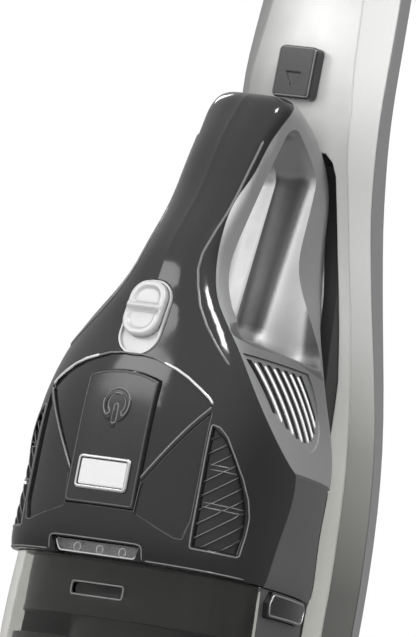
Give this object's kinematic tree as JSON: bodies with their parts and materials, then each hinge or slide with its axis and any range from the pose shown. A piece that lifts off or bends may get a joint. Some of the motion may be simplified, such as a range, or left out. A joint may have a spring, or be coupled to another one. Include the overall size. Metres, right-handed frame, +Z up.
{
  "type": "cordless stick vacuum cleaner",
  "caption": "Cordless stick vacuum with a docked lift-out hand unit, loop handle, smoky dust bin, bowed spine, tilting neck and powered floor head.",
  "frame": {"origin": "centre of the bounding box on the floor", "axes": "+Z up along the stick, -Y forwards to the front of the floor head, +X to the right seen from the front"},
  "size_m": [0.264, 0.181, 1.09],
  "materials": {
    "black_gloss": "gloss black moulded plastic",
    "silver_grey": "metallic grey moulded plastic, satin",
    "silver_light": "light silver moulded plastic, satin",
    "grey_shell": "darker grey moulded plastic",
    "black_matte": "black moulded plastic, fine grain",
    "white_button": "white silver button",
    "chrome_trim": "bright plated trim",
    "clear_smoke": "smoky clear moulded plastic",
    "clear_lens": "clear lamp window",
    "rubber_black": "black rubber",
    "steel": "bright steel",
    "brass": "plated contact",
    "board_green": "circuit board",
    "cell_wrap": "sleeved battery cell",
    "filter_paper": "pleated filter medium",
    "bristle": "nylon bristle strip",
    "motor_steel": "motor can",
    "fabric_pad": "felt glide pad"
  },
  "bodies": {
    "floor_head": {"head_base": "black_matte", "head_cover": "black_gloss", "head_bumper": "rubber_black", "glide_pads": "fabric_pad", "head_screws": "steel", "brush_bearings": "steel", "brush_motor": "motor_steel", "drive_belt": "rubber_black", "wheel_axles": "steel", "neck_pins": "steel"},
    "brush": {"brush_roll": "grey_shell", "brush_bristles": "bristle"},
    "brush_drive": {"motor_pulley": "steel"},
    "wheel_l": {"wheel_left": "grey_shell", "tyre_left": "rubber_black"},
    "wheel_r": {"wheel_right": "grey_shell", "tyre_right": "rubber_black"},
    "neck": {"neck_yoke": "black_matte", "swivel_ring": "silver_light"},
    "stick": {"spine_front": "silver_light", "spine_rear": "grey_shell", "dock_cradle": "black_matte", "dock_contacts": "brass", "dock_foot": "black_gloss", "port_seal": "rubber_black", "suction_duct": "black_matte", "swivel_socket": "black_matte", "charge_socket": "black_matte", "spine_screws": "steel", "handle_tube": "silver_light", "handle_grip": "rubber_black"},
    "release": {"release_button": "black_gloss", "release_latch": "black_matte"},
    "hand_unit": {"hand_cover": "black_gloss", "hand_shell_right": "silver_grey", "hand_shell_left": "silver_grey", "side_grille_right": "black_matte", "side_grille_left": "black_matte", "switch_track": "silver_light", "led_lens": "clear_lens", "led_board": "board_green", "fan_shroud": "black_matte", "motor_can": "motor_steel", "motor_mounts": "rubber_black", "battery_cells": "cell_wrap", "control_board": "board_green"},
    "fan": {"fan_rotor": "black_matte"},
    "switch": {"slide_switch": "silver_light"},
    "pad": {"power_pad": "black_gloss", "button_frame": "chrome_trim"},
    "bin_catch": {"bin_button": "white_button"},
    "bin": {"dust_bin": "clear_smoke", "bin_back": "silver_grey", "bin_clips": "black_gloss", "filter_cup": "black_matte", "filter_pleats": "filter_paper", "nozzle": "black_matte"},
    "flap": {"inlet_flap": "rubber_black"}
  },
  "joints": [
    {"name": "neck_tilt", "type": "hinge", "parent": "floor_head", "child": "neck", "pos_m": [0, 0.0645, 0.046], "axis": [-1, 0, 0], "range_deg": [0, 75]},
    {"name": "neck_swivel", "type": "hinge", "parent": "neck", "child": "stick", "pos_m": [0, 0.0645, 0.13], "axis": [0, 0, 1], "range_deg": [-50, 50]},
    {"name": "brush_spin", "type": "hinge", "parent": "floor_head", "child": "brush", "pos_m": [0, -0.062, 0.02], "axis": [1, 0, 0], "continuous": true},
    {"name": "brush_motor_spin", "type": "hinge", "parent": "floor_head", "child": "brush_drive", "pos_m": [-0.1, -0.012, 0.028], "axis": [1, 0, 0], "continuous": true},
    {"name": "wheel_left_spin", "type": "hinge", "parent": "floor_head", "child": "wheel_l", "pos_m": [-0.056, 0.0645, 0.024], "axis": [1, 0, 0], "continuous": true},
    {"name": "wheel_right_spin", "type": "hinge", "parent": "floor_head", "child": "wheel_r", "pos_m": [0.056, 0.0645, 0.024], "axis": [1, 0, 0], "continuous": true},
    {"name": "release_slide", "type": "slide", "parent": "stick", "child": "release", "axis": [0, 0, -1], "range_m": [0, 0.003], "stiffness_N_per_m": 900, "springref_m": -0.002},
    {"name": "hand_unit_lift_out", "type": "slide", "parent": "stick", "child": "hand_unit", "axis": [0, -1, 0], "range_m": [0, 0.2]},
    {"name": "fan_spin", "type": "hinge", "parent": "hand_unit", "child": "fan", "pos_m": [0, -0.028, 0.46], "axis": [0, 0, 1], "continuous": true},
    {"name": "switch_slide", "type": "slide", "parent": "hand_unit", "child": "switch", "axis": [0, -0.209, -0.9779], "range_m": [0, 0.0064]},
    {"name": "pad_press", "type": "slide", "parent": "hand_unit", "child": "pad", "axis": [0, 1, 0], "range_m": [0, 0.0012], "stiffness_N_per_m": 1500, "springref_m": -0.001},
    {"name": "bin_button_press", "type": "slide", "parent": "hand_unit", "child": "bin_catch", "axis": [0, 1, 0], "range_m": [0, 0.002], "stiffness_N_per_m": 1200, "springref_m": -0.001},
    {"name": "bin_pull_off", "type": "slide", "parent": "hand_unit", "child": "bin", "axis": [0, -1, 0], "range_m": [0, 0.14]},
    {"name": "flap_swing", "type": "hinge", "parent": "bin", "child": "flap", "pos_m": [0, -0.007, 0.3564], "axis": [-1, 0, 0], "range_deg": [0, 60], "stiffness_Nm_per_rad": 0.01, "springref_deg": -20.05}
  ],
  "couplings": [
    {"joint": "brush_motor_spin", "follows": "brush_spin", "ratio": 1.5}
  ]
}
